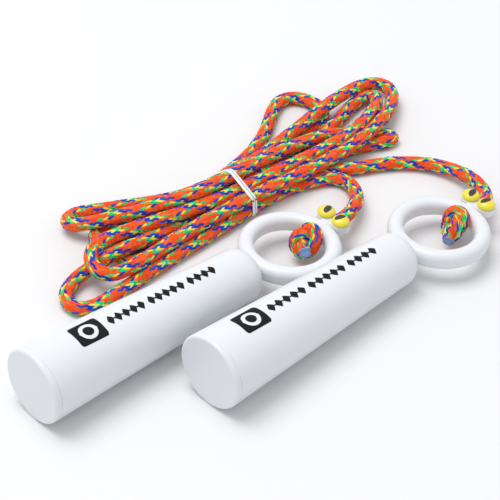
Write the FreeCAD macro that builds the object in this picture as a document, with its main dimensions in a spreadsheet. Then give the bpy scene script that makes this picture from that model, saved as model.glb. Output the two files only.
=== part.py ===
import FreeCAD, Part
import math
import os
from FreeCAD import Vector, Rotation, Placement

# Skipping rope with two ring-headed handles, its rope folded into a hank and held by a twist tie.
# Row frame: millimetres, +Z up, the floor at Z = 0, origin under the middle of the two handles.
# +X runs from the capped near ends of the handles towards their ring heads.
# Each handle is drawn in its own frame: x along its axis from the outer face of the end cap,
# y across, z up, and is then placed by left_place / right_place.

doc = FreeCAD.newDocument("skipping_rope")
dims = doc.addObject("Spreadsheet::Sheet", "dims")
VALUES = [
    # end cap
    ("cap_radius", 15.9), ("cap_thick", 2.6), ("cap_edge", 1.2),
    ("plug_radius", 13.55), ("plug_length", 7.0), ("plug_wall", 1.6),
    # hollow tapered grip
    ("grip_near_radius", 15.9), ("grip_far_radius", 11.63), ("grip_end", 112.2), ("grip_wall", 2.0),
    ("shoulder_fillet", 7.0), ("inner_floor", 107.7), ("inner_far_radius", 9.2), ("rim_fillet", 0.4),
    ("socket_radius", 4.0), ("collar_radius", 6.2), ("collar_start", 98.2),
    # ring head
    ("ring_centre", 134.9), ("ring_mid_radius", 18.6), ("bar_width", 6.9), ("bar_height", 8.2), ("bar_fillet", 3.2),
    ("stem_radius", 3.96), ("stem_end", 117.0),
    ("boss_radius", 4.4), ("boss_start", 151.0), ("boss_end", 162.5), ("boss_edge", 0.7),
    ("seat_level", 3.6), ("post_radius", 4.1), ("post_low", 0.6),
    ("rope_hole_radius", 3.35), ("peg_radius", 1.2), ("peg_spread", 5.2), ("peg_low", 1.0),
    # bulging eyes with dark pupils
    ("eye_station", 160.4), ("eye_spread", 4.35), ("eye_round", 3.85), ("eye_half_height", 2.2), ("eye_level", 4.6),
    ("pupil_long", 2.6), ("pupil_short", 1.375), ("pupil_splay", 14.0), ("pupil_inset", 0.6), ("pupil_floor", 5.7),
    ("pupil_proud", 0.12),
    # rope
    ("rope_radius", 3.0), ("knot_centre", 141.4), ("knot_half_length", 7.7), ("knot_radius", 7.9), ("knot_face", 148.6),
    ("end_radius", 2.9), ("end_length", 3.0),
    # tie round the hank
    ("tie_station", 39.5), ("tie_width", 2.7), ("tie_gap", 0.1), ("tie_thick", 0.35), ("rib_radius", 0.4),
    ("rib_offset", 0.55), ("wire_radius", 0.22), ("twist_radius", 1.1), ("twist_length", 7.0),
    # handle places: near end centre and yaw; both lie on their tapered sides
    ("left_x", -109.58), ("left_y", 19.52), ("left_yaw", -0.95),
    ("right_x", -54.36), ("right_y", -19.52), ("right_yaw", 0.95),
    ("axis_level", 16.0), ("axis_drop", 2.2305),
]
for row, (alias, value) in enumerate(VALUES, 1):
    dims.set("A%d" % row, alias)
    dims.set("B%d" % row, repr(value))
    dims.setAlias("B%d" % row, alias)
doc.recompute()


def val(alias):
    return float(dims.get(alias))


X_SHIFT = val("left_x") + 108.0  # the whole rope moves with the handles


def handle_place(side):
    """Near end centre, yaw about Z, nose down by axis_drop."""
    turn = Rotation(Vector(0, 0, 1), val(side + "_yaw")) * Rotation(Vector(0, 1, 0), val("axis_drop"))
    return Placement(Vector(val(side + "_x"), val(side + "_y"), val("axis_level")), turn)


def origin_plane(body, role):
    return [f for f in body.Origin.OriginFeatures if f.Role == role][0]


def polygon_sketch(body, name, points):
    """Closed polygon on the body's XZ plane; each corner's x and z are (expression) strings."""
    sk = body.newObject("Sketcher::SketchObject", name)
    sk.AttachmentSupport = (origin_plane(body, "XZ_Plane"), [""])
    sk.MapMode = "FlatFace"
    n = len(points)

    def number(expression):
        text = expression
        for alias, _ in sorted(VALUES, key=lambda v: -len(v[0])):
            text = text.replace("dims." + alias, "(%r)" % val(alias))
        total = FreeCAD.Units.Quantity(text)
        return float(total.Value)

    import Sketcher
    xy = [(number(a), number(b)) for a, b in points]
    for i in range(n):
        a, b = xy[i], xy[(i + 1) % n]
        sk.addGeometry(Part.LineSegment(Vector(a[0], a[1], 0), Vector(b[0], b[1], 0)), False)
    for i in range(n):
        sk.addConstraint(Sketcher.Constraint("Coincident", i, 2, (i + 1) % n, 1))
    for i, (a, b) in enumerate(points):
        for kind, expression, value in (("DistanceX", a, xy[i][0]), ("DistanceY", b, xy[i][1])):
            if abs(value) < 1e-9:
                sk.addConstraint(Sketcher.Constraint("PointOnObject", i, 1, -2 if kind == "DistanceX" else -1))
                continue
            index = sk.addConstraint(Sketcher.Constraint(kind, -1, 1, i, 1, value))
            if "dims." in expression:
                sk.setExpression("Constraints[%d]" % index, expression)
    return sk


def revolve(body, name, sketch, axis="H_Axis"):
    rev = body.newObject("PartDesign::Revolution", name)
    rev.Profile = sketch
    rev.ReferenceAxis = (sketch, [axis])
    rev.Angle = 360
    return rev


def circle_edges(feature, tests):
    """Names of the circular edges whose centre x and radius (or radius and z) match one of the tests."""
    names = []
    for i, e in enumerate(feature.Shape.Edges, 1):
        c = e.Curve
        if not hasattr(c, "Radius"):
            continue
        for test in tests:
            if test(c.Center, c.Radius, c.Axis):
                names.append("Edge%d" % i)
                break
    return names


def fillet(body, name, feature, tests, radius_alias):
    doc.recompute()
    names = circle_edges(feature, tests)
    if not names:
        raise RuntimeError("no edge for fillet " + name)
    f = body.newObject("PartDesign::Fillet", name)
    f.Base = (feature, names)
    f.setExpression("Radius", "dims." + radius_alias)
    return f


def cylinder(body, name, kind, base, direction, radius, height):
    """PartDesign primitive cylinder. base, radius and height are expressions."""
    c = body.newObject("PartDesign::%sCylinder" % kind, name)
    c.setExpression("Radius", radius)
    c.setExpression("Height", height)
    c.Placement = Placement(Vector(0, 0, 0), Rotation(Vector(0, 0, 1), direction))
    for axis, expression in zip("xyz", base):
        if expression != "0":
            c.setExpression("Placement.Base." + axis, expression)
    return c


LEAVES = []


def leaf(obj, label, placement=None):
    obj.Label = label
    if placement is not None:
        obj.Placement = placement
    LEAVES.append(obj)
    return obj


AX, UP = Vector(1, 0, 0), Vector(0, 0, 1)
for side in ("left", "right"):
    place = handle_place(side)
    S = side.capitalize()

    # End cap: a flat disc with a rolled edge and a short thin-walled plug that presses into the grip.
    cap = doc.addObject("PartDesign::Body", S + "Cap")
    sk = polygon_sketch(cap, S + "CapProfile", [
        ("0", "0"), ("0", "dims.cap_radius"), ("dims.cap_thick", "dims.cap_radius"), ("dims.cap_thick", "dims.plug_radius"),
        ("dims.cap_thick + dims.plug_length", "dims.plug_radius"),
        ("dims.cap_thick + dims.plug_length", "dims.plug_radius - dims.plug_wall"),
        ("dims.cap_thick", "dims.plug_radius - dims.plug_wall"), ("dims.cap_thick", "0")])
    rev = revolve(cap, S + "CapTurned", sk)
    fillet(cap, S + "CapEdge", rev, [lambda c, r, a: abs(c.x) < 1e-6 and abs(r - val("cap_radius")) < 1e-6], "cap_edge")
    leaf(cap, side + "_end_cap", place)

    # Grip: a hollow tapered tube, closed and rounded at the far end, with a socket collar for the head's stem.
    grip = doc.addObject("PartDesign::Body", S + "Grip")
    sk = polygon_sketch(grip, S + "GripProfile", [
        ("dims.cap_thick", "dims.grip_near_radius"), ("dims.grip_end", "dims.grip_far_radius"),
        ("dims.grip_end", "dims.socket_radius"), ("dims.collar_start", "dims.socket_radius"),
        ("dims.collar_start", "dims.collar_radius"), ("dims.inner_floor", "dims.collar_radius"),
        ("dims.inner_floor", "dims.inner_far_radius"),
        ("dims.collar_start", "dims.inner_far_radius + 1.0"),
        ("dims.cap_thick", "dims.grip_near_radius - dims.grip_wall")])
    rev = revolve(grip, S + "GripTurned", sk)
    f = fillet(grip, S + "GripShoulder", rev,
               [lambda c, r, a: abs(c.x - val("grip_end")) < 1e-6 and abs(r - val("grip_far_radius")) < 1e-6], "shoulder_fillet")
    fillet(grip, S + "GripRim", f,
           [lambda c, r, a: abs(c.x - val("cap_thick")) < 1e-6 and abs(r - val("grip_near_radius")) < 1e-6], "rim_fillet")
    leaf(grip, side + "_grip", place)

    # Ring head: a rounded ring, a stem in the grip's socket, a boss that the rope runs through,
    # and two posts whose tops are the seats of the eyes.
    head = doc.addObject("PartDesign::Body", S + "Head")
    sk = polygon_sketch(head, S + "BarProfile", [
        ("dims.ring_mid_radius - dims.bar_width / 2", "-dims.bar_height / 2"),
        ("dims.ring_mid_radius + dims.bar_width / 2", "-dims.bar_height / 2"),
        ("dims.ring_mid_radius + dims.bar_width / 2", "dims.bar_height / 2"),
        ("dims.ring_mid_radius - dims.bar_width / 2", "dims.bar_height / 2")])
    rev = revolve(head, S + "Ring", sk, "V_Axis")
    f = fillet(head, S + "RingRound", rev, [lambda c, r, a: True], "bar_fillet")
    # the ring is drawn about the head's own origin, so the head's other features are measured from the ring's centre
    rc = "dims.ring_centre"
    cylinder(head, S + "Stem", "Additive", ("dims.collar_start - " + rc, "0", "0"), AX,
             "dims.stem_radius", "dims.stem_end - dims.collar_start")
    cylinder(head, S + "Boss", "Additive", ("dims.boss_start - " + rc, "0", "0"), AX,
             "dims.boss_radius", "dims.boss_end - dims.boss_start")
    flat = head.newObject("PartDesign::SubtractiveBox", S + "SeatFlat")
    flat.setExpression("Length", "dims.boss_end - dims.eye_station + dims.post_radius + 1.5")
    flat.Width = 12.0
    flat.Height = 4.0
    flat.setExpression("Placement.Base.x", "dims.eye_station - dims.post_radius - 0.3 - " + rc)
    flat.Placement.Base.y = -6.0
    flat.setExpression("Placement.Base.z", "dims.seat_level")
    for k, sign in (("A", ""), ("B", "-")):
        cylinder(head, S + "Post" + k, "Additive",
                 ("dims.eye_station - " + rc, sign + "dims.eye_spread", "dims.post_low"), UP,
                 "dims.post_radius", "dims.seat_level - dims.post_low")
    doc.recompute()
    before = head.Shape.Volume
    cylinder(head, S + "RopeHole", "Subtractive", ("149.0 - " + rc, "0", "0"), AX, "dims.rope_hole_radius", "17.0")
    doc.recompute()
    if before - head.Shape.Volume < 200:
        raise RuntimeError("the rope hole cuts nothing")
    for k, sign in (("A", ""), ("B", "-")):
        cylinder(head, S + "PegHole" + k, "Subtractive",
                 ("dims.eye_station - " + rc, sign + "dims.peg_spread", "dims.peg_low"), UP,
                 "dims.peg_radius", "dims.seat_level - dims.peg_low + 0.5")
    leaf(head, side + "_ring_head", place.multiply(Placement(Vector(val("ring_centre"), 0, 0), Rotation())))

    # Eyes: low domes on the seats, each with a peg, and a dark oval pupil let into the top.
    for k, sign in (("outer", 1 if side == "left" else -1), ("inner", -1 if side == "left" else 1)):
        E = S + "Eye" + k.capitalize()
        ball = doc.addObject("Part::Ellipsoid", E + "Ball")
        ball.setExpression("Radius1", "dims.eye_half_height")
        ball.setExpression("Radius2", "dims.eye_round")
        ball.setExpression("Radius3", "dims.eye_round")
        ball.Placement = Placement(Vector(0, 0, 0), Rotation(Vector(0, 0, 1), 117))
        ball.setExpression("Placement.Base.z", "dims.eye_level")
        under = doc.addObject("Part::Box", E + "Under")
        under.Length = under.Width = 20
        under.Height = 10
        under.Placement = Placement(Vector(-10, -10, 0), Rotation())
        under.setExpression("Placement.Base.z", "dims.seat_level - 10")
        dome = doc.addObject("Part::Cut", E + "Dome")
        dome.Base, dome.Tool = ball, under
        peg = doc.addObject("Part::Cylinder", E + "Peg")
        peg.setExpression("Radius", "dims.peg_radius - 0.02")
        peg.setExpression("Height", "dims.seat_level - dims.peg_low + 0.3")
        peg.setExpression("Placement.Base.z", "dims.peg_low + 0.1")
        peg.setExpression("Placement.Base.y", "%d * (dims.peg_spread - dims.eye_spread)" % sign)
        whole = doc.addObject("Part::Fuse", E + "Whole")
        whole.Base, whole.Tool = dome, peg
        oval = doc.addObject("Part::Ellipse", E + "Oval")
        oval.setExpression("MajorRadius", "dims.pupil_long")
        oval.setExpression("MinorRadius", "dims.pupil_short")
        oval.Placement = Placement(Vector(0, 0, 0), Rotation(Vector(0, 0, 1), sign * val("pupil_splay")))
        oval.setExpression("Placement.Base.z", "dims.pupil_floor")
        oval.setExpression("Placement.Base.y", "%d * dims.pupil_inset" % -sign)
        prism = doc.addObject("Part::Extrusion", E + "Prism")
        prism.Base = oval
        prism.DirMode = "Custom"
        prism.Dir = Vector(0, 0, 1)
        prism.LengthFwd = 4.0
        prism.Solid = True
        eye = doc.addObject("Part::Cut", E)
        eye.Base, eye.Tool = whole, prism
        at = place.multiply(Placement(Vector(val("eye_station"), sign * val("eye_spread"), 0), Rotation()))
        leaf(eye, side + "_eye_" + k, at)
        shell = doc.addObject("Part::Ellipsoid", E + "Shell")
        for r, alias in (("Radius1", "eye_half_height"), ("Radius2", "eye_round"), ("Radius3", "eye_round")):
            shell.setExpression(r, "dims.%s + dims.pupil_proud" % alias)
        shell.Placement = Placement(Vector(0, 0, 0), Rotation(Vector(0, 0, 1), 117))
        shell.setExpression("Placement.Base.z", "dims.eye_level")
        pupil = doc.addObject("Part::Common", S + "Pupil" + k.capitalize())
        pupil.Base, pupil.Tool = prism, shell
        leaf(pupil, side + "_pupil_" + k, at)

    # Knot: the rope's overhand knot, pressed against the inside of the ring, and the rope's sealed end beside it.
    ball = doc.addObject("Part::Ellipsoid", S + "KnotBall")
    ball.setExpression("Radius1", "dims.knot_half_length")
    ball.setExpression("Radius2", "dims.knot_radius")
    ball.setExpression("Radius3", "dims.knot_radius")
    ball.Placement = Placement(Vector(0, 0, 0), Rotation(Vector(0, 0, 1), AX))
    ball.setExpression("Placement.Base.x", "dims.knot_centre")
    front = doc.addObject("Part::Box", S + "KnotFront")
    front.Length = 10
    front.Width = front.Height = 30
    front.Placement = Placement(Vector(0, -15, -15), Rotation())
    front.setExpression("Placement.Base.x", "dims.knot_face")
    knot = doc.addObject("Part::Cut", S + "Knot")
    knot.Base, knot.Tool = ball, front
    leaf(knot, "rope_knot_" + side, place)
    stub = doc.addObject("Part::Cylinder", S + "Stub")
    stub.setExpression("Radius", "dims.end_radius")
    stub.setExpression("Height", "dims.end_length + 5.0")
    out = Vector(-0.62, -0.66, -0.42)
    out.normalize()
    tip = Vector(137.6, -6.6, -4.3)
    stub.Placement = Placement(tip - out * 8.0, Rotation(Vector(0, 0, 1), out))
    ball2 = doc.addObject("Part::Ellipsoid", S + "KnotBallB")
    for r, alias in (("Radius1", "knot_half_length"), ("Radius2", "knot_radius"), ("Radius3", "knot_radius")):
        ball2.setExpression(r, "dims." + alias)
    ball2.Placement = Placement(Vector(0, 0, 0), Rotation(Vector(0, 0, 1), AX))
    ball2.setExpression("Placement.Base.x", "dims.knot_centre")
    end = doc.addObject("Part::Cut", S + "RopeEnd")
    end.Base, end.Tool = stub, ball2
    leaf(end, "rope_end_" + side, place)

# The hank: one closed solid round the folded rope. Each section across X is a twelve-sided outline given by the
# distances from the X axis line of its twelve tangent planes, 30 degrees apart, the first facing +Y, the fourth up.
HANK = [
    (-61.9, [63.8, 56.9, 35.0, 3.9, -22.8, -43.1, -51.7, -46.1, -28.0, -2.2, 29.6, 53.8]),
    (-59.5, [66.7, 59.7, 37.4, 5.8, -20.6, -40.6, -49.0, -43.6, -25.8, -0.4, 31.8, 56.5]),
    (-52, [70.5, 63.7, 40.6, 7.4, -19.3, -38.7, -46.9, -41.7, -24.5, 0.0, 33.1, 59.3]),
    (-42, [72.9, 69.4, 48.1, 14.7, -17.3, -38.7, -46.9, -41.7, -24.5, 0.0, 32.9, 59.3]),
    (-33, [75.3, 71.3, 49.0, 14.7, -17.2, -39.1, -47.3, -42.1, -24.7, 0.0, 32.9, 61.0]),
    (-27, [103.6, 92.3, 57.2, 14.4, -17.3, -39.5, -47.8, -42.5, -25.0, 0.0, 49.4, 87.9]),
    (-20, [103.6, 92.3, 57.2, 14.4, -17.5, -40.0, -48.4, -43.0, -25.3, 0.0, 49.4, 87.9]),
    (-8, [100.4, 89.8, 56.0, 16.4, -17.7, -40.4, -48.8, -43.4, -25.5, 0.0, 47.5, 84.9]),
    (8, [88.1, 80.4, 51.9, 18.0, -17.1, -40.7, -49.6, -44.0, -25.9, 0.0, 40.2, 73.0]),
    (24, [79.6, 72.8, 49.8, 18.3, -16.2, -39.7, -49.8, -44.4, -26.3, -0.1, 38.5, 67.7]),
    (34.5, [80.1, 71.8, 49.2, 18.3, -15.7, -39.1, -50.2, -45.0, -26.8, -0.9, 38.1, 67.8]),
    (36.0, [80.6, 72.2, 49.0, 18.2, -15.6, -38.9, -50.4, -45.2, -27.1, -1.0, 38.4, 68.2]),
    (43.0, [80.6, 72.2, 49.0, 18.2, -15.6, -38.9, -50.4, -45.2, -27.1, -1.0, 38.4, 68.2]),
    (46, [81.6, 73.0, 48.8, 17.9, -15.4, -38.4, -50.3, -45.4, -27.0, -0.7, 38.9, 69.1]),
    (58, [85.1, 75.9, 48.4, 17.1, -15.1, -37.6, -49.2, -44.0, -25.8, 0.0, 41.0, 72.3]),
    (72, [91.6, 81.3, 50.1, 15.4, -15.0, -37.1, -45.6, -40.6, -23.9, 0.0, 44.6, 78.1]),
    (82, [97.8, 86.6, 53.0, 14.0, -14.9, -36.0, -43.8, -39.0, -23.0, 0.0, 47.8, 83.6]),
    (94, [105.4, 93.2, 56.8, 13.3, -14.9, -35.3, -43.0, -38.3, -22.6, 0.0, 51.6, 90.2]),
    (106, [106.6, 94.2, 57.4, 12.9, -15.0, -37.2, -48.6, -43.4, -25.5, 0.0, 52.2, 91.2]),
    (116, [105.6, 93.3, 56.9, 12.2, -15.8, -36.9, -44.8, -39.9, -23.5, 0.0, 51.7, 90.3]),
    (123, [86.5, 79.1, 51.4, 11.7, -16.9, -36.9, -44.8, -39.9, -23.5, 0.0, 39.6, 71.6]),
    (128, [87.0, 79.3, 51.4, 11.3, -18.0, -37.0, -45.0, -40.0, -23.6, 0.0, 39.9, 72.2]),
    (134, [87.1, 79.3, 51.3, 10.7, -19.7, -44.1, -55.8, -51.8, -33.0, 0.0, 39.9, 72.6]),
    (142, [87.1, 79.1, 50.8, 9.7, -22.7, -48.2, -60.0, -54.9, -34.3, -0.6, 39.6, 72.6]),
    (149.5, [84.9, 76.8, 48.7, 8.3, -27.1, -54.6, -66.7, -60.3, -37.0, -2.7, 38.8, 71.1]),
    (152.2, [81.9, 73.8, 46.1, 6.3, -30.2, -58.3, -70.7, -63.8, -39.7, -4.5, 36.6, 68.3]),
]


def section_points(x, reach, grow=0.0):
    """Corners of the twelve-sided outline at station x."""
    pts = []
    for k in range(12):
        a, b = math.radians(30 * k), math.radians(30 * (k + 1))
        da, db = reach[k] + grow, reach[(k + 1) % 12] + grow
        det = math.cos(a) * math.sin(b) - math.sin(a) * math.cos(b)
        y = (da * math.sin(b) - db * math.sin(a)) / det
        z = (math.cos(a) * db - math.cos(b) * da) / det
        pts.append(Vector(x + X_SHIFT, y, z))
    return pts


def section_wire(x, reach, grow=0.0):
    pts = section_points(x, reach, grow)
    return Part.makePolygon(pts + [pts[0]])


hank_shape = Part.makeLoft([section_wire(x, r) for x, r in HANK], True, True)
if hank_shape.Volume < 0:
    hank_shape.reverse()
hank = doc.addObject("Part::Feature", "Hank")
hank.Shape = hank_shape
leaf(hank, "rope_hank")


# Rope tails: from each knot straight out through the head's hole, then down to the floor and into the hank.
def tube(points, radius, name):
    """Round tube along straight runs joined by tangent arcs; prints its bend radii."""
    p = [Vector(*q) for q in points]
    runs = [(p[i + 1] - p[i]).Length for i in range(len(p) - 1)]
    edges, at, radii = [], p[0], []
    for i in range(1, len(p) - 1):
        u = (p[i] - p[i - 1]).normalize()
        v = (p[i + 1] - p[i]).normalize()
        turn = u.getAngle(v)
        r = 0.45 * min(runs[i - 1], runs[i]) / math.tan(turn / 2)
        cut = r * math.tan(turn / 2)
        a, b = p[i] - u * cut, p[i] + v * cut
        mid_dir = (v - u).normalize()
        mid = p[i] + mid_dir * (r / math.cos(turn / 2) - r)
        edges.append(Part.LineSegment(at, a).toShape())
        edges.append(Part.Arc(a, mid, b).toShape())
        radii.append((round(r, 1), round(math.degrees(turn))))
        at = b
    edges.append(Part.LineSegment(at, p[-1]).toShape())
    wire = Part.Wire(edges)
    start = (p[1] - p[0]).normalize()
    ring = Part.Wire([Part.Circle(p[0], start, radius).toShape()])
    solid = wire.makePipeShell([ring], True, False)
    share = solid.Volume / (math.pi * radius ** 2 * wire.Length)
    print(name, "length", round(wire.Length, 1), "runs", [round(q, 1) for q in runs], "radius, turn", radii, "volume share", round(share, 4))
    if abs(share - 1) > 0.01:
        raise RuntimeError("tube volume is wrong: " + name)
    return solid


def on_axis(side, x):
    q = handle_place(side).multVec(Vector(x, 0, 0))
    return (q.x, q.y, q.z)


def shift(points):
    return [(x + X_SHIFT, y, z) for x, y, z in points]


LEFT_TAIL = [on_axis("left", val("knot_face")), on_axis("left", 165.6)] + shift([
    (70.2, 20.6, 7.6), (79.8, 28.4, 5.3), (85.0, 38.4, 3.6), (81.6, 46.6, 3.0), (72.6, 50.2, 3.0), (63.0, 53.6, 3.0)])
RIGHT_TAIL = [on_axis("right", val("knot_face")), on_axis("right", 169.0)] + shift([
    (124.3, -3.2, 7.2), (126.0, 8.6, 5.3), (123.4, 20.3, 3.8), (116.7, 30.2, 3.0), (106.4, 38.1, 3.0), (95.0, 43.4, 3.0),
    (84.8, 49.8, 3.2), (76.0, 55.0, 3.6)])
for side, points in (("left", LEFT_TAIL), ("right", RIGHT_TAIL)):
    whole = doc.addObject("Part::Feature", side.capitalize() + "TailWhole")
    whole.Shape = tube(points, val("rope_radius"), "rope_tail_" + side)
    tail = doc.addObject("Part::Cut", side.capitalize() + "Tail")
    tail.Base, tail.Tool = whole, hank
    leaf(tail, "rope_tail_" + side)

# Twist tie: a flat strip with a raised rib round the hank's waist, its steel wire, and the twisted ends at the far side.
waist = [r for x, r in HANK if x == 36.0][0]
tx = val("tie_station")
half = val("tie_width") / 2


def waist_loop(grow):
    """The waist outline moved outwards, with round corners."""
    face = Part.Face(section_wire(tx, waist))
    return face.makeOffset2D(grow, 0).OuterWire


def waist_ring(low, high):
    outer = Part.Face(waist_loop(high))
    inner = Part.Face(waist_loop(low))
    ring = outer.cut(inner)
    ring.translate(Vector(-half, 0, 0))
    return ring.extrude(Vector(2 * half, 0, 0))


def waist_round(radius):
    path = waist_loop(val("rib_offset"))
    edge = max(path.Edges, key=lambda e: e.Length)
    path = Part.Wire(Part.__sortEdges__([edge] + [e for e in path.Edges if not e.isSame(edge)]))
    first = path.OrderedEdges[0]
    start = first.valueAt(first.FirstParameter)
    direction = first.tangentAt(first.FirstParameter)
    ring = Part.Wire([Part.Circle(start, direction, radius).toShape()])
    return path.makePipeShell([ring], True, False)


band = waist_ring(val("tie_gap"), val("tie_gap") + val("tie_thick"))
rib = waist_round(val("rib_radius"))
core = waist_round(val("wire_radius"))
far = Vector(tx + X_SHIFT, waist[0] + val("tie_gap") + 0.2, 6.0)
twist = Part.makeCylinder(val("twist_radius"), val("twist_length"), far, Vector(0.35, 1.0, -0.28))
strip_shape = band.fuse(rib).fuse(twist).removeSplitter().cut(core)
wire_feature = doc.addObject("Part::Feature", "TieWire")
wire_feature.Shape = core
leaf(wire_feature, "tie_wire")
strip_feature = doc.addObject("Part::Feature", "TieStrip")
strip_feature.Shape = strip_shape
leaf(strip_feature, "tie_strip")

doc.recompute()
bad = [o.Name for o in doc.Objects if "Invalid" in o.State or "Error" in o.State]
for o in LEAVES:
    if o.Shape.isNull() or not o.Shape.isValid():
        bad.append(o.Label + " shape")
    elif len(o.Shape.Solids) != 1 or o.Shape.Volume <= 0:
        bad.append("%s has %d solids, volume %.1f" % (o.Label, len(o.Shape.Solids), o.Shape.Volume))
if bad:
    raise RuntimeError("failed objects: %s" % bad)

os.makedirs("parts", exist_ok=True)
for old in os.listdir("parts"):
    if old.endswith(".step"):
        os.remove(os.path.join("parts", old))
for o in LEAVES:
    o.Shape.exportStep("parts/%s.step" % o.Label)

box = FreeCAD.BoundBox()
for o in LEAVES:
    b = o.Shape.BoundBox
    print("%-20s vol %9.1f  x %7.2f %7.2f  y %7.2f %7.2f  z %6.2f %6.2f" % (
        o.Label, o.Shape.Volume, b.XMin, b.XMax, b.YMin, b.YMax, b.ZMin, b.ZMax))
    if not o.Label.startswith(("rope_", "tie_")):
        box.add(b)
print("handles", box)
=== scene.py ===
import math

import bpy
import numpy as np
from mathutils import Matrix, Vector


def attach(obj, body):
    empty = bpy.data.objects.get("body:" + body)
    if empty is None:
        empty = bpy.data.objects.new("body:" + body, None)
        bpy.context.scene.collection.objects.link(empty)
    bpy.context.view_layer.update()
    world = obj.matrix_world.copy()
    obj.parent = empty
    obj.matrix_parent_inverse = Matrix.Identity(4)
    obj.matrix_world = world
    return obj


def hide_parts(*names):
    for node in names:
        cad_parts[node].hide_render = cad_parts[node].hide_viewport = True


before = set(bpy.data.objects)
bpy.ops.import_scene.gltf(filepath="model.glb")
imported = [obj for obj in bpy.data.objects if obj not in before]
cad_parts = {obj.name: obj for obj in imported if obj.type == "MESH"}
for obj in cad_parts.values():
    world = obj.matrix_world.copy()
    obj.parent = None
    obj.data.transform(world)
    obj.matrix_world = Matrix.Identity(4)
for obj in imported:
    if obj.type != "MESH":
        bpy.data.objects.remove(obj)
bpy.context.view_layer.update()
MM = 0.001

# ---------------------------------------------------------------- camera
az, pitch, roll = math.radians(45.51), math.radians(40.32), math.radians(1.9)
ahead = Vector((math.cos(az) * math.cos(pitch), math.sin(az) * math.cos(pitch), -math.sin(pitch)))
right = Vector((math.sin(az), -math.cos(az), 0))
up = right.cross(ahead)
cam_x = right * math.cos(roll) + up * math.sin(roll)
cam_y = up * math.cos(roll) - right * math.sin(roll)
cam_data = bpy.data.cameras.new("camera")
cam_data.sensor_width = 36.0
cam_data.lens = 128.48
cam_data.clip_start, cam_data.clip_end = 0.05, 20
cam = bpy.data.objects.new("camera", cam_data)
bpy.context.scene.collection.objects.link(cam)
m = Matrix.Identity(4)
for i in range(3):
    m[i][0], m[i][1], m[i][2] = cam_x[i], cam_y[i], -ahead[i]
    m[i][3] = (-388.18 * MM, -379.88 * MM, 495.33 * MM)[i]
cam.matrix_world = m
bpy.context.scene.camera = cam

# ---------------------------------------------------------------- handle frames, as in part.py
DROP = math.radians(2.2305)
HANDLE = {"left": (-109.58, 19.52, math.radians(-0.95)), "right": (-54.36, -19.52, math.radians(0.95))}
X_SHIFT = HANDLE["left"][0] + 108.0


def handle_matrix(side):
    x, y, yaw = HANDLE[side]
    return Matrix.Translation((x, y, 16.0)) @ Matrix.Rotation(yaw, 4, "Z") @ Matrix.Rotation(DROP, 4, "Y")


def local(side, p):
    return tuple(handle_matrix(side) @ Vector(p))


# ---------------------------------------------------------------- the rope's route, control points in mm
# A tight overhand knot about its own middle: x away from the hole is negative, the first point is nearest the hole.
KNOT = [(7.4, 0.3, 0.1), (2.8, -0.5, -0.9), (-0.2, -3.1, -2.9), (-3.5, -5.5, -0.8), (-6.0, -4.7, 3.0), (-6.4, -0.9, 5.7),
        (-4.4, 3.3, 5.2), (-1.4, 5.1, 2.0), (1.4, 5.1, -2.0), (4.3, 3.3, -5.2), (6.3, -0.9, -5.7), (6.0, -4.7, -3.0),
        (3.5, -5.5, 0.8), (0.1, -3.1, 2.9), (-2.9, -0.5, 0.9), (-6.6, 0.2, -0.4)]

def knot_points(side, turn, mirror, middle, scale, slide, tail):
    """Knot points from the hole inwards, turned about the hole's axis, then the free end's points, in the row frame."""
    a = math.radians(turn)
    pts = [(153.0, 0.0, 0.0)]
    for i, (x, y, z) in enumerate(KNOT[:-1]):
        y *= mirror
        y, z = y * math.cos(a) - z * math.sin(a), y * math.sin(a) + z * math.cos(a)
        pts.append((middle + x * scale[0], y * scale[1] + (slide if i else 0.0), z * scale[2]))
    pts += tail
    return [local(side, p) for p in pts]


LEFT_KNOT = knot_points("left", 182, 1, 144.1, (0.56, 0.85, 0.86), -0.9, [(138.6, -5.6, -0.9), (136.0, -8.3, 2.1)])
RIGHT_KNOT = knot_points("right", 150, -1, 144.3, (0.54, 0.78, 0.88), -0.6, [(140.2, -1.0, -2.2), (138.4, -3.6, -3.0), (135.8, -4.6, -3.7)])


def shift(points):
    return [(x + X_SHIFT, y, z) for x, y, z in points]


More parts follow.
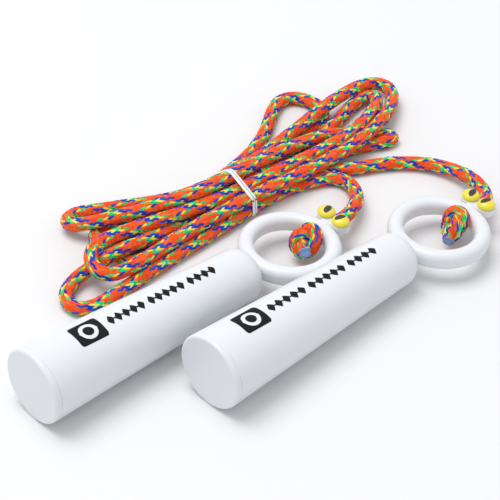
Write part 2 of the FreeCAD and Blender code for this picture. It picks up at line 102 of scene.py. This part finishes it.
LEFT_TAIL = [local("left", (165.6, 0, 0))] + shift([
    (70.2, 20.6, 7.6), (79.8, 28.4, 5.3), (85.0, 38.4, 3.6), (81.6, 46.6, 3.0), (72.6, 50.2, 3.0), (63.0, 53.2, 3.1)])
RIGHT_TAIL = [local("right", (169.0, 0, 0))] + shift([
    (124.3, -3.2, 7.2), (126.0, 8.6, 5.3), (123.4, 20.3, 3.8), (116.7, 30.2, 3.0), (106.4, 38.1, 3.0), (95.0, 43.4, 3.0),
    (84.8, 49.8, 3.2), (77.0, 54.6, 3.2)])
HANK = shift([
    (55.4, 53.7, 3.3), (47.4, 53.9, 3.8), (37.9, 53.5, 4.0), (26.3, 53.1, 3.6), (12.0, 52.8, 3.2), (-3.6, 52.5, 3.0),
    (-18.8, 51.7, 3.0), (-32.3, 50.7, 3.0), (-42.9, 49.9, 3.0), (-50.9, 50.0, 3.0), (-56.4, 51.6, 3.0), (-59.1, 55.3, 3.0),
    (-58.8, 60.0, 3.0), (-55.9, 64.3, 3.2), (-51.0, 67.0, 3.7), (-44.5, 67.8, 4.8), (-36.4, 67.1, 6.6), (-26.3, 65.7, 8.4),
    (-13.7, 64.3, 7.7), (1.1, 63.7, 6.0), (17.7, 64.1, 4.8), (35.3, 65.2, 4.0), (52.6, 66.6, 3.4), (68.8, 67.8, 3.0),
    (83.6, 69.1, 3.0), (96.6, 70.8, 3.0), (108.0, 73.0, 3.0), (118.0, 75.7, 3.0), (127.2, 78.5, 3.0), (134.6, 79.7, 3.2),
    (139.2, 77.7, 4.0), (139.1, 73.0, 5.2), (133.3, 68.1, 6.5), (123.4, 63.3, 7.9), (112.2, 59.5, 9.1), (101.4, 57.5, 9.8),
    (90.6, 56.9, 10.2), (79.2, 57.1, 10.5), (67.1, 57.8, 10.7), (53.7, 58.6, 10.9), (38.3, 59.8, 11.0), (22.0, 61.5, 11.2),
    (5.8, 64.8, 11.4), (-8.8, 68.7, 11.2), (-20.5, 71.7, 11.1), (-29.0, 72.6, 11.2), (-35.2, 71.2, 11.6), (-39.8, 67.8, 11.7),
    (-42.3, 63.2, 10.8), (-42.0, 58.6, 9.7), (-38.4, 55.6, 8.7), (-31.9, 54.6, 8.1), (-22.9, 54.7, 7.9), (-12.5, 55.3, 7.9),
    (-1.3, 55.9, 8.1), (10.9, 55.8, 8.6), (24.5, 55.2, 9.2), (40.0, 54.0, 9.7), (55.7, 52.8, 9.4), (70.0, 51.9, 9.0),
    (83.6, 51.3, 8.9), (96.9, 51.3, 8.9), (108.7, 52.5, 9.0), (119.6, 55.0, 8.7), (129.7, 58.7, 7.7), (138.6, 63.5, 6.5),
    (145.4, 68.7, 5.7), (149.2, 74.2, 5.3), (149.3, 79.3, 5.3), (145.5, 82.9, 5.7), (138.3, 84.3, 6.5), (128.4, 83.8, 7.5),
    (115.8, 81.9, 8.5), (100.7, 79.0, 9.1), (84.6, 75.8, 9.4), (69.0, 73.2, 9.6), (54.4, 71.7, 9.8), (41.2, 71.5, 9.8),
    (29.7, 72.1, 9.7), (20.4, 73.6, 9.5), (12.2, 76.8, 9.0), (4.2, 82.0, 8.0), (-3.5, 88.1, 6.7), (-10.7, 93.8, 5.5),
    (-16.9, 98.4, 4.7), (-22.1, 100.8, 4.4), (-26.5, 100.1, 4.6), (-28.8, 96.7, 5.5), (-27.7, 92.5, 6.6), (-24.0, 88.4, 8.1),
    (-18.5, 84.1, 9.7), (-11.0, 79.3, 11.4), (-1.7, 74.3, 13.3), (9.3, 69.5, 14.6), (22.3, 66.2, 15.3), (36.8, 65.6, 15.3),
    (51.1, 66.1, 14.3), (63.8, 66.8, 12.7), (75.1, 67.2, 11.1), (85.0, 67.5, 9.5), (93.8, 67.3, 7.9), (101.4, 66.3, 6.1),
    (107.4, 63.9, 4.5), (112.3, 60.8, 3.3), (116.6, 57.4, 3.0), (120.4, 54.5, 3.0), (123.8, 52.3, 3.0), (125.1, 49.2, 3.0),
    (122.4, 47.4, 3.0), (118.6, 48.8, 3.0), (113.9, 51.3, 3.0), (107.0, 54.0, 3.1), (98.0, 56.7, 3.7), (86.8, 59.3, 4.8),
    (73.6, 61.6, 6.3), (58.7, 63.4, 8.0), (42.8, 65.0, 9.3), (26.9, 66.8, 9.6), (11.7, 69.2, 8.9), (-1.7, 71.8, 8.0),
    (-12.7, 74.1, 6.8), (-20.6, 76.4, 5.6), (-24.9, 79.5, 4.5), (-25.0, 83.7, 3.5), (-21.3, 85.9, 3.0), (-15.8, 84.8, 3.0),
    (-8.1, 82.0, 3.0), (2.0, 78.8, 3.0), (14.4, 76.6, 3.2), (28.6, 76.2, 3.8), (44.0, 77.6, 4.1), (59.6, 80.6, 3.7),
    (73.5, 85.4, 3.3), (84.5, 91.6, 3.0), (93.0, 97.8, 3.0), (100.3, 102.4, 3.0), (106.7, 104.0, 3.0), (111.6, 102.0, 3.0),
    (114.8, 97.2, 3.0), (116.0, 91.3, 3.0), (115.1, 85.5, 3.0), (112.0, 81.4, 3.0), (106.5, 78.7, 3.0), (98.6, 77.1, 3.0),
    (88.2, 75.8, 3.0), (75.3, 74.5, 3.2), (60.2, 73.2, 3.7), (43.9, 71.7, 4.1), (27.8, 70.4, 3.7), (13.0, 69.4, 3.0),
    (0.3, 68.8, 3.0), (-10.1, 69.2, 3.0), (-17.8, 70.0, 3.0), (-22.9, 69.3, 3.0), (-25.5, 65.7, 3.0), (-24.1, 61.6, 3.0),
    (-19.2, 59.5, 3.0), (-11.3, 58.8, 3.0), (-0.9, 58.6, 3.0), (11.3, 58.6, 3.1), (24.4, 58.8, 3.6), (37.3, 59.5, 4.1),
    (49.5, 59.8, 3.9), (60.4, 59.2, 3.4), (69.8, 57.5, 3.1),
])
ROUTE = LEFT_KNOT[::-1] + LEFT_TAIL + HANK + RIGHT_TAIL[::-1] + RIGHT_KNOT


def spline_points(name, points, resolution=6):
    """Points along a NURBS spline of order 3 with those control points, in metres, as Blender evaluates it."""
    cu = bpy.data.curves.new(name, "CURVE")
    cu.dimensions = "3D"
    sp = cu.splines.new("NURBS")
    sp.points.add(len(points) - 1)
    for i, p in enumerate(points):
        sp.points[i].co = (p[0] * MM, p[1] * MM, p[2] * MM, 1.0)
    sp.order_u = 3
    sp.use_endpoint_u = True
    sp.resolution_u = resolution
    ob = bpy.data.objects.new(name, cu)
    bpy.context.scene.collection.objects.link(ob)
    bpy.context.view_layer.update()
    me = bpy.data.meshes.new_from_object(ob.evaluated_get(bpy.context.evaluated_depsgraph_get()))
    co = np.array([v.co for v in me.vertices], float).reshape(-1, 3)
    bpy.data.meshes.remove(me)
    bpy.data.objects.remove(ob)
    bpy.data.curves.remove(cu)
    keep = np.concatenate([[True], np.linalg.norm(np.diff(co, axis=0), axis=1) > 1e-7])
    return co[keep]


class Path:
    """A smooth line with frames that don't twist."""

    def __init__(self, pts):
        self.p = pts
        seg = np.diff(pts, axis=0)
        ln = np.linalg.norm(seg, axis=1)
        self.s = np.concatenate([[0], np.cumsum(ln)])
        t = np.zeros_like(pts)
        u = seg / ln[:, None]
        t[0], t[-1] = u[0], u[-1]
        t[1:-1] = u[:-1] + u[1:]
        t /= np.linalg.norm(t, axis=1)[:, None]
        n = np.zeros_like(pts)
        a = np.cross(t[0], [0.0, 0.0, 1.0])
        n[0] = a / np.linalg.norm(a)
        for i in range(1, len(pts)):
            v = n[i - 1] - t[i] * np.dot(n[i - 1], t[i])
            n[i] = v / np.linalg.norm(v)
        self.t, self.n = t, n
        self.b = np.cross(t, n)

    @property
    def length(self):
        return self.s[-1]

    def at(self, s):
        f = lambda a: np.stack([np.interp(s, self.s, a[:, k]) for k in range(3)], -1)
        return f(self.p), f(self.n), f(self.b), f(self.t)


def surface(path, s, theta, radius):
    p, n, b, _ = path.at(s)
    return p + radius[..., None] * (np.cos(theta)[..., None] * n + np.sin(theta)[..., None] * b)


def new_mesh(name, verts, faces, materials, index=None, smooth=True, uv=None):
    me = bpy.data.meshes.new(name)
    verts = np.asarray(verts, float)
    faces = np.asarray(faces, int)
    me.vertices.add(len(verts))
    me.vertices.foreach_set("co", verts.reshape(-1).astype(np.float32))
    k = faces.shape[1]
    me.loops.add(faces.size)
    me.loops.foreach_set("vertex_index", faces.reshape(-1))
    me.polygons.add(len(faces))
    me.polygons.foreach_set("loop_start", np.arange(0, faces.size, k))
    me.polygons.foreach_set("loop_total", np.full(len(faces), k))
    for mat in materials:
        me.materials.append(mat)
    if index is not None:
        me.polygons.foreach_set("material_index", np.asarray(index, np.int32))
    me.polygons.foreach_set("use_smooth", np.full(len(faces), smooth))
    if uv is not None:
        layer = me.uv_layers.new(name="yarn")
        layer.data.foreach_set("uv", np.asarray(uv, np.float32)[faces.reshape(-1)].reshape(-1))
    me.update(calc_edges=True)
    me.validate()
    ob = bpy.data.objects.new(name, me)
    bpy.context.scene.collection.objects.link(ob)
    return ob


# ---------------------------------------------------------------- materials
def principled(name, colour, rough, **kw):
    mat = bpy.data.materials.new(name)
    mat.use_nodes = True
    b = mat.node_tree.nodes["Principled BSDF"]
    b.inputs["Base Color"].default_value = (*colour, 1)
    b.inputs["Roughness"].default_value = rough
    for k, v in kw.items():
        key = k.replace("_", " ")
        if key in b.inputs:
            b.inputs[key].default_value = v
    return mat


def add_bump(mat, build, scale):
    """Fine relief through the Displacement socket."""
    nt = mat.node_tree
    h = build(nt)
    d = nt.nodes.new("ShaderNodeDisplacement")
    d.inputs["Midlevel"].default_value = 0.5
    d.inputs["Scale"].default_value = scale
    nt.links.new(h, d.inputs["Height"])
    nt.links.new(d.outputs["Displacement"], nt.nodes["Material Output"].inputs["Displacement"])
    mat.displacement_method = "BUMP"
    return mat


def filaments(nt):
    """Fine parallel filaments along a yarn, from the yarn's own coordinates."""
    uv = nt.nodes.new("ShaderNodeUVMap")
    uv.uv_map = "yarn"
    mp = nt.nodes.new("ShaderNodeMapping")
    mp.inputs["Scale"].default_value = (1.0, 0.12, 1.0)
    nt.links.new(uv.outputs["UV"], mp.inputs["Vector"])
    w = nt.nodes.new("ShaderNodeTexWave")
    w.bands_direction = "X"
    w.inputs["Scale"].default_value = 1.6
    w.inputs["Distortion"].default_value = 2.2
    w.inputs["Detail"].default_value = 2.0
    w.inputs["Detail Scale"].default_value = 1.4
    nt.links.new(mp.outputs["Vector"], w.inputs["Vector"])
    return w.outputs["Fac"]


YARNS = {
    "orange": [((1.0, 0.118, 0.018), 0.52), ((1.0, 0.160, 0.032), 0.48), ((0.96, 0.088, 0.012), 0.56)],
    "blue": [((0.001, 0.050, 0.50), 0.50), ((0.003, 0.085, 0.66), 0.46)],
    "green": [((0.000, 0.66, 0.17), 0.50), ((0.002, 0.82, 0.27), 0.46)],
    "yellow": [((0.98, 0.83, 0.060), 0.50), ((1.0, 0.90, 0.13), 0.46)],
}
rope_materials, shade_of = [], {}
for colour, shades in YARNS.items():
    shade_of[colour] = []
    for k, (rgb, rough) in enumerate(shades):
        mat = principled("yarn_%s_%d" % (colour, k), rgb, rough, Specular_IOR_Level=0.22, Sheen_Weight=0.03, Sheen_Roughness=0.4)
        add_bump(mat, filaments, 0.00007)
        shade_of[colour].append(len(rope_materials))
        rope_materials.append(mat)
# inner core tube under the floats: its dark red-brown is painted shade for the gaps between the yarns
core_shade_mat = principled("rope_core_painted_shade", (0.30, 0.022, 0.008), 0.8)
add_bump(core_shade_mat, filaments, 0.00004)
rope_materials.append(core_shade_mat)
CORE_SHADE = len(rope_materials) - 1
melt_mat = principled("melted_end", (0.16, 0.28, 0.56), 0.30, Subsurface_Weight=0.15, Subsurface_Radius=(0.001, 0.001, 0.0015),
                      Subsurface_Scale=0.6)


def lumps(scale, detail=3.0):
    def build(nt):
        tc = nt.nodes.new("ShaderNodeTexCoord")
        n = nt.nodes.new("ShaderNodeTexNoise")
        n.inputs["Scale"].default_value = scale
        n.inputs["Detail"].default_value = detail
        nt.links.new(tc.outputs["Object"], n.inputs["Vector"])
        return n.outputs["Fac"]
    return build


add_bump(melt_mat, lumps(900), 0.00025)

# ---------------------------------------------------------------- the braided rope
rng = np.random.default_rng(7)
pts = spline_points("rope_line", ROUTE)
path = Path(pts)
T = path.length
D = 6.0 * MM
PITCH = 37.0 * MM


def family_orders(first):
    """Yarn colours of the two directions: green, yellow and two blues in one, one blue in the other."""
    one, two = ["orange"] * 16, ["orange"] * 16
    for rep in (0, 8):
        for k, c in enumerate(("green", "yellow", "blue", "blue")):
            one[(first - k + rep) % 16] = c
        for k, c in enumerate(("green", "yellow", "blue")):
            two[(-first - 1 + k + rep) % 16] = c
    return one, two
ORDER = family_orders(3)
SEAL_LEN = 1.0 * MM
knot_len = 0.0
lk = spline_points("k", LEFT_KNOT)
LEFT_KNOT_LEN = float(np.linalg.norm(np.diff(lk, axis=0), axis=1).sum())
rk = spline_points("k", RIGHT_KNOT)
RIGHT_KNOT_LEN = float(np.linalg.norm(np.diff(rk, axis=0), axis=1).sum())


def rope_radius(s):
    """The rope is squeezed thinner where it is knotted."""
    a = np.clip((LEFT_KNOT_LEN - 2 * MM - s) / (8 * MM), 0, 1)
    b = np.clip((s - (T - RIGHT_KNOT_LEN + 2 * MM)) / (8 * MM), 0, 1)
    k = np.maximum(a, b)
    k = k * k * (3 - 2 * k)
    e = np.clip(1 - np.minimum(s, T - s) / (4 * MM), 0, 1)
    return (D / 2) * (1 - 0.13 * k) * (1 - 0.06 * e * e)


def lay_out(s, th):
    """Where the braid's own coordinates come to lie on the rope."""
    return s, th + TWIST


TWIST = math.pi / 4


def braid(path, start, end, radius, rng):
    """Every visible float of a two-over-two braid of 32 yarns, as a small pillow that tucks under its neighbours."""
    verts, faces, index, uvs = [], [], [], []
    base = 0
    n_rings = int((end - start) / (PITCH / 8)) + 12
    k = np.arange(-8, n_rings)[:, None]
    i = np.arange(16)[None, :]
    WID = 1.12
    P_ = np.array([-1.26, -0.80, 0.80, 1.26])
    Q_ = np.array([-0.5, 0.0, 0.5]) * WID
    h = np.array([[-0.70, -0.46, -0.70], [-0.25, 0.13, -0.25], [-0.25, 0.13, -0.25], [-0.70, -0.46, -0.70]]) * MM
    for family in (0, 1):
        if family == 0:
            a0, b0 = i + 0.5 + 0 * k, -i + 4 * k + 1.0
            a = a0[..., None, None] + Q_[None, None, None, :] + 0 * P_[None, None, :, None]
            b = b0[..., None, None] + P_[None, None, :, None] + 0 * Q_[None, None, None, :]
        else:
            a0, b0 = -i - 4 * k + 3.0, i + 0.5 + 0 * k
            a = a0[..., None, None] + P_[None, None, :, None] + 0 * Q_[None, None, None, :]
            b = b0[..., None, None] + Q_[None, None, None, :] + 0 * P_[None, None, :, None]
        yarn = np.broadcast_to(i, a0.shape)
        s = PITCH * (b - a) / 32 + start
        th = 2 * math.pi * (a + b) / 32
        centre = (s[..., 1, 1] + s[..., 2, 1]) / 2
        ok = (centre > start + 0.3 * MM) & (centre < end - 0.3 * MM)
        proud = np.array([{"blue": 0.07, "yellow": -0.04, "green": 0.03}.get(c, 0.0) for c in ORDER[family]])[yarn]
        jitter = (rng.normal(0, 0.03, a0.shape) + proud)[..., None, None] * MM
        s = np.clip(s, start, end)
        r = radius(s) + h[None, None] + jitter
        s, th = lay_out(s, th)
        co = surface(path, s[ok], th[ok], r[ok])
        co[..., 2] = np.maximum(co[..., 2], 0.0)
        yarn_ok = yarn[ok]
        n = len(co)
        verts.append(co.reshape(-1, 3))
        q = np.array([[r * 3 + c, r * 3 + c + 1, r * 3 + c + 4, r * 3 + c + 3] for r in range(3) for c in range(2)])
        if family == 1:
            q = q[:, ::-1]
        faces.append((base + 12 * np.arange(n)[:, None, None] + q[None]).reshape(-1, 4))
        base += 12 * n
        colour_index = np.zeros(n, int)
        pick = rng.integers(0, 6, n)
        for y in range(16):
            shades = np.array(shade_of[ORDER[family][y]])
            m_ = yarn_ok == y
            colour_index[m_] = shades[pick[m_] % len(shades)]
        index.append(np.repeat(colour_index, 6))
        off = rng.random((n, 2)) * 7
        u = (Q_[None, None, :] * 1.18 + 0 * P_[None, :, None]) + off[:, 0, None, None]
        v = (P_[None, :, None] * 1.6 + 0 * Q_[None, None, :]) + off[:, 1, None, None]
        uvs.append(np.stack([u, v], -1).reshape(-1, 2))
    return np.concatenate(verts), np.concatenate(faces), np.concatenate(index), np.concatenate(uvs)


def tube(path, start, end, radius, step, sides, closed_ends=True):
    n = max(2, int((end - start) / step) + 1)
    s = np.linspace(start, end, n)
    th = np.linspace(0, 2 * math.pi, sides, endpoint=False)
    S, TH = np.meshgrid(s, th, indexing="ij")
    co = surface(path, S, TH, radius(S)).reshape(-1, 3)
    f = []
    a = np.arange(n - 1)[:, None] * sides
    j = np.arange(sides)[None, :]
    j2 = (j + 1) % sides
    faces = np.stack([a + j, a + sides + j, a + sides + j2, a + j2], -1).reshape(-1, 4)
    uv = np.stack([TH / (2 * math.pi) * 19, S / (1.0 * MM)], -1).reshape(-1, 2)
    return co, faces[:, ::-1], uv


v1, f1, i1, uv1 = braid(path, SEAL_LEN, T - SEAL_LEN, rope_radius, rng)
# the core tube, coloured dark as painted shade, shows through the gaps between the floats
v2, f2, uv2 = tube(path, SEAL_LEN * 0.5, T - SEAL_LEN * 0.5, lambda s: rope_radius(s) - 0.5 * MM, 2.4 * MM, 9)
rope = new_mesh("rope", np.concatenate([v1, v2]), np.concatenate([f1, f2 + len(v1)]), rope_materials,
                np.concatenate([i1, np.full(len(f2), CORE_SHADE)]), uv=np.concatenate([uv1, uv2]))


def sealed_end(name, at_start):
    """The melted end: a short plug with a rounded rim and a slightly sunk, uneven face."""
    prof = [(-1.6, 1.8), (-0.9, 2.2), (-0.3, 2.36), (0.05, 2.38), (0.28, 2.22), (0.36, 1.8), (0.3, 1.2), (0.22, 0.6), (0.2, 0.02)]
    s0 = SEAL_LEN if at_start else T - SEAL_LEN
    p, n, b, t = path.at(np.array([s0]))
    p, n, b, t = p[0], n[0], b[0], t[0]
    out = -t if at_start else t
    sides = 28
    verts, faces = [], []
    r_ = np.random.default_rng(11 if at_start else 12)
    wob = r_.normal(0, 0.05, sides)
    wob = (wob + np.roll(wob, 1) + np.roll(wob, -1)) / 3
    for x, r in prof:
        for j in range(sides):
            a = 2 * math.pi * j / sides
            rr = r * (1 + wob[j] * 1.3) * MM * 0.98
            xx = (x + 0.12 * math.sin(3 * a + 1.0) * (r / 2.7)) * MM
            verts.append(p + out * xx + (n * math.cos(a) + b * math.sin(a)) * rr)
    for k in range(len(prof) - 1):
        for j in range(sides):
            j2 = (j + 1) % sides
            q = [k * sides + j, k * sides + j2, (k + 1) * sides + j2, (k + 1) * sides + j]
            faces.append(q if not at_start else q[::-1])
    return new_mesh(name, verts, faces, [melt_mat])


end_left = sealed_end("melted_end_left", True)
end_right = sealed_end("melted_end_right", False)

# ---------------------------------------------------------------- twist tie
TIE_X = 39.5 + X_SHIFT


def tie_outline():
    """Outline of the rope strands at the tie, seen along X, from the route's own spline."""
    near = np.abs(path.p[:, 0] - TIE_X * MM) < 2.2 * MM
    near &= (path.p[:, 2] < 0.03) & (path.p[:, 1] > 0.045)
    c = path.p[near][:, 1:] / MM
    th = np.linspace(0, 2 * math.pi, 180, endpoint=False)
    reach = np.stack([np.cos(th), np.sin(th)], 1) @ c.T
    sup = reach.max(1) + 3.0
    # the envelope of the tangent lines
    d = np.gradient(np.concatenate([sup[-2:], sup, sup[:2]]), th[1] - th[0])[2:-2]
    y = sup * np.cos(th) - d * np.sin(th)
    z = sup * np.sin(th) + d * np.cos(th)
    return th, y, z


film = principled("tie_film", (0.88, 0.885, 0.90), 0.22, Specular_IOR_Level=0.55, Coat_Weight=0.3, Coat_Roughness=0.12)
add_bump(film, lumps(1400, 2.0), 0.00006)
wire_film = principled("tie_film_over_wire", (0.42, 0.38, 0.40), 0.25, Specular_IOR_Level=0.6)
add_bump(wire_film, lumps(1800, 2.0), 0.00004)
# black faces across the strip at the crease: a painted shadow of a fold
fold_shadow_film = principled("tie_fold_painted_shadow", (0.012, 0.016, 0.014), 0.3, Specular_IOR_Level=0.5)
add_bump(fold_shadow_film, lumps(1800, 2.0), 0.00004)


def tie_mesh():
    th, y, z = tie_outline()
    # outline by arc length
    L = np.concatenate([[0], np.cumsum(np.hypot(np.diff(np.append(y, y[0])), np.diff(np.append(z, z[0]))))])
    total = L[-1]
    n = 220
    q = np.linspace(0, total, n, endpoint=False)
    yy = np.interp(q, L, np.append(y, y[0]))
    zz = np.interp(q, L, np.append(z, z[0]))
    tt = np.interp(q, L, np.append(th, th[0] + 2 * math.pi))
    ny, nz = np.cos(tt), np.sin(tt)
    # section across the strip: flat wings and a raised rib over the wire
    sec = [(-1.35, 0.06), (-0.85, 0.16), (-0.36, 0.12), (-0.20, 0.40), (0.0, 0.48), (0.20, 0.40), (0.36, 0.12), (0.85, 0.16),
           (1.35, 0.06), (1.35, -0.05), (0.0, -0.08), (-1.35, -0.05)]
    verts, faces, mats = [], [], []
    k = len(sec)
    # the strip runs askew: further towards the grips over the top and the far side
    lean = -1.6 - 0.55 * np.cos(tt) - 0.5 * np.sin(tt)
    for i in range(n):
        for x, h in sec:
            wob = 0.05 * math.sin(q[i] * 2.1 + x * 2)
            verts.append(((TIE_X + x + lean[i]) * MM, (yy[i] + ny[i] * (0.16 + h + wob)) * MM, (zz[i] + nz[i] * (0.16 + h + wob)) * MM))
    # the faces beside the rib at the crease get the black painted fold shadow
    crease = int(np.argmin(np.abs(tt - math.radians(163))))
    for i in range(n):
        i2 = (i + 1) % n
        for j in range(k):
            j2 = (j + 1) % k
            faces.append([i * k + j, i * k + j2, i2 * k + j2, i2 * k + j])
            fold_shadow = i in (crease, crease + 1) and j in (0, 1, 6, 7)
            mats.append(2 if fold_shadow else 1 if j in (3, 4) else 0)
    # the two ends twisted together at the far side, with their tips apart
    far = np.array([TIE_X - 1.6, yy.max() + 0.3, 4.6])
    way = np.array([0.93, 0.30, -0.36]) / np.linalg.norm([0.93, 0.30, -0.36])
    side = np.cross(way, [0, 0, 1.0])
    side /= np.linalg.norm(side)
    up = np.cross(side, way)
    for strand in (0, 1):
        base = len(verts)
        m = 46
        for i in range(m):
            f = i / (m - 1)
            apart = 0.45 + 1.5 * max(0.0, f - 0.62) ** 1.2
            ang = strand * math.pi + 3.4 * math.pi * min(f, 0.72)
            c = far + way * 5.0 * f + (side * math.cos(ang) + up * math.sin(ang)) * apart
            e1 = side * math.cos(ang) + up * math.sin(ang)
            e2 = np.cross(way, e1)
            half = 0.75 * (1 - 0.15 * f)
            for u, v in ((-half, 0.0), (-0.3, 0.12), (0.0, 0.30), (0.3, 0.12), (half, 0.0), (0.0, -0.12)):
                verts.append(tuple((c + e2 * u + e1 * v) * MM))
        for i in range(m - 1):
            for j in range(6):
                j2 = (j + 1) % 6
                faces.append([base + i * 6 + j, base + (i + 1) * 6 + j, base + (i + 1) * 6 + j2, base + i * 6 + j2])
                mats.append(1 if j in (1, 2) else 0)
        for ring, cap in ((0, ((0, 1, 4, 5), (1, 2, 3, 4))), (m - 1, ((5, 4, 1, 0), (4, 3, 2, 1)))):
            faces += [[base + ring * 6 + j for j in quad] for quad in cap]
            mats += [0, 0]
    return verts, faces, mats


tv, tf, tm = tie_mesh()
tie = new_mesh("twist_tie", tv, tf, [film, wire_film, fold_shadow_film], np.array(tm))

# ---------------------------------------------------------------- print on the grips: plain shapes
ink = principled("black_print", (0.005, 0.005, 0.006), 0.6, Specular_IOR_Level=0.2)
add_bump(ink, lumps(2600, 2.0), 0.00002)


def grip_radius(x):
    return 15.9 + (11.63 - 15.9) * (x - 2.6) / (112.2 - 2.6)


def patch(side, grid, lift=0.035):
    """Points on the grip's surface: grid is rows of (x, arc mm from the top line, positive towards the outer side)."""
    M = handle_matrix(side)
    out = []
    for x, arc in grid:
        r = grip_radius(x) + lift
        a = math.radians(PRINT_TOP[side]) - arc / r
        out.append(tuple(MM * c for c in (M @ Vector((x, r * math.cos(a), r * math.sin(a))))))
    return out


PRINT_TOP = {"left": 95.5, "right": 89.0}
PRINT_AT = {"left": (19.8, 37.4, 3.80), "right": (15.4, 33.0, 4.26)}


def shape(side, outline_rows):
    """A printed patch made of strips: outline_rows is a list of (x, arc_low, arc_high)."""
    verts, faces = [], []
    cols = 9
    for x, lo, hi in outline_rows:
        verts += patch(side, [(x, lo + (hi - lo) * j / (cols - 1)) for j in range(cols)])
    for i in range(len(outline_rows) - 1):
        for j in range(cols - 1):
            a = i * cols + j
            faces.append([a, a + 1, a + cols + 1, a + cols])
    return verts, faces


def rounded_square(side, x0, x1, half, r, hole):
    """A rounded square with a round hole, as two halves of strips."""
    verts, faces = [], []
    xc = (x0 + x1) / 2
    xs = sorted(set(list(np.linspace(x0, x1, 41))))

    def edge(x):
        d = max(0.0, max(x0 + r - x, x - (x1 - r)))
        return half - r + math.sqrt(max(r * r - d * d, 0)) if d > 0 else half

    def inner(x):
        d = abs(x - xc)
        return math.sqrt(max(hole * hole - d * d, 0)) if d < hole else 0.0

    for sgn in (1, -1):
        rows = [(x, sgn * inner(x), sgn * edge(x)) for x in xs]
        v, f = shape(side, rows)
        faces += [[a + len(verts) for a in q] for q in f]
        verts += v
    return verts, faces


def disc(side, xc, rad):
    rows = [(xc + rad * math.sin(t), -rad * math.cos(t), rad * math.cos(t)) for t in np.linspace(-math.pi / 2, math.pi / 2, 25)]
    return shape(side, rows)


def diamond(side, x, half_x, half_y, slant):
    rows = []
    for t in np.linspace(-1, 1, 9):
        w = half_y * (1 - abs(t)) ** 0.8
        rows.append((x + t * half_x, -w + slant * t, w + slant * t))
    return shape(side, rows)


def grip_print(side):
    verts, faces = [], []

    def put(vf):
        v, f = vf
        faces.extend([[a + len(verts) for a in q] for q in f])
        verts.extend(v)

    square, first, pitch = PRINT_AT[side]
    put(rounded_square(side, square, square + 13.2, 5.6, 1.3, 4.0))
    put(disc(side, square + 6.6, 2.3))
    # a plain band of leaf shapes and dots, in three runs
    x0 = first
    for count in (5, 5, 4):
        for j in range(count):
            put(diamond(side, x0 + j * pitch, 0.44 * pitch, 2.5, 0.4))
            if j < count - 1:
                put(disc(side, x0 + (j + 0.5) * pitch, 0.45))
        x0 += (count + 0.35) * pitch
    return new_mesh("print_" + side, verts, faces, [ink], smooth=True)


prints = {side: grip_print(side) for side in HANDLE}

# ---------------------------------------------------------------- plastics on the CAD nodes
def white_plastic():
    mat = principled("white_plastic", (0.745, 0.765, 0.795), 0.34, Specular_IOR_Level=0.5, Subsurface_Weight=0.08,
                     Subsurface_Radius=(0.004, 0.004, 0.004), Subsurface_Scale=0.5)
    return add_bump(mat, lumps(2200, 2.0), 0.00001)


def yellow_plastic():
    mat = principled("yellow_plastic", (0.83, 0.70, 0.055), 0.25, Specular_IOR_Level=0.55, Subsurface_Weight=0.1,
                     Subsurface_Radius=(0.002, 0.002, 0.0005), Subsurface_Scale=0.5)
    return add_bump(mat, lumps(1600, 2.0), 0.00002)


white, yellow = white_plastic(), yellow_plastic()
pupil = principled("pupil_black", (0.018, 0.015, 0.020), 0.55, Specular_IOR_Level=0.3)
add_bump(pupil, lumps(3000, 1.0), 0.00005)
nt = pupil.node_tree
checks = nt.nodes.new("ShaderNodeTexChecker")
checks.inputs["Scale"].default_value = 1900
checks.inputs["Color1"].default_value = (0.012, 0.010, 0.014, 1)
checks.inputs["Color2"].default_value = (0.085, 0.075, 0.095, 1)
place = nt.nodes.new("ShaderNodeTexCoord")
nt.links.new(place.outputs["Object"], checks.inputs["Vector"])
nt.links.new(checks.outputs["Color"], nt.nodes["Principled BSDF"].inputs["Base Color"])
for name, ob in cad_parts.items():
    if name.startswith(("rope_", "tie_")):
        continue
    mat = pupil if "pupil" in name else yellow if "eye" in name else white
    for sl in ob.material_slots:
        sl.link = "OBJECT"
        sl.material = mat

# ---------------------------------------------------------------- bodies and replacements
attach(rope, "rope")
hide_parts("rope_hank", "rope_tail_left", "rope_tail_right", "rope_knot_left", "rope_knot_right")
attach(end_left, "rope")
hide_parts("rope_end_left")
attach(end_right, "rope")
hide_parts("rope_end_right")
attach(tie, "rope")
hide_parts("tie_strip", "tie_wire")
for side, ob in prints.items():
    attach(ob, side + "_handle")

# ---------------------------------------------------------------- floor and light
floor_mat = principled("floor", (0.775, 0.775, 0.78), 0.7)
me = bpy.data.meshes.new("floor")
me.from_pydata([(-3, -3, 0), (3, -3, 0), (3, 3, 0), (-3, 3, 0)], [], [(0, 1, 2, 3)])
me.materials.append(floor_mat)
floor = bpy.data.objects.new("floor", me)
bpy.context.scene.collection.objects.link(floor)

world = bpy.data.worlds.new("world")
bpy.context.scene.world = world
world.use_nodes = True
world.node_tree.nodes["Background"].inputs["Color"].default_value = (0.97, 0.98, 1.0, 1)
world.node_tree.nodes["Background"].inputs["Strength"].default_value = 0.74


def area(name, at, target, size, power):
    li = bpy.data.lights.new(name, "AREA")
    li.shape = "DISK"
    li.size = size
    li.energy = power
    ob = bpy.data.objects.new(name, li)
    bpy.context.scene.collection.objects.link(ob)
    ob.location = at
    ob.rotation_euler = (Vector(target) - Vector(at)).to_track_quat("-Z", "Y").to_euler()
    return ob


area("key", (-0.25, 0.55, 1.9), (0.02, 0.02, 0), 1.4, 25)
bpy.context.scene.view_settings.view_transform = "Standard"

print("ROPE", T, "knots", LEFT_KNOT_LEN, RIGHT_KNOT_LEN, "faces", len(rope.data.polygons))
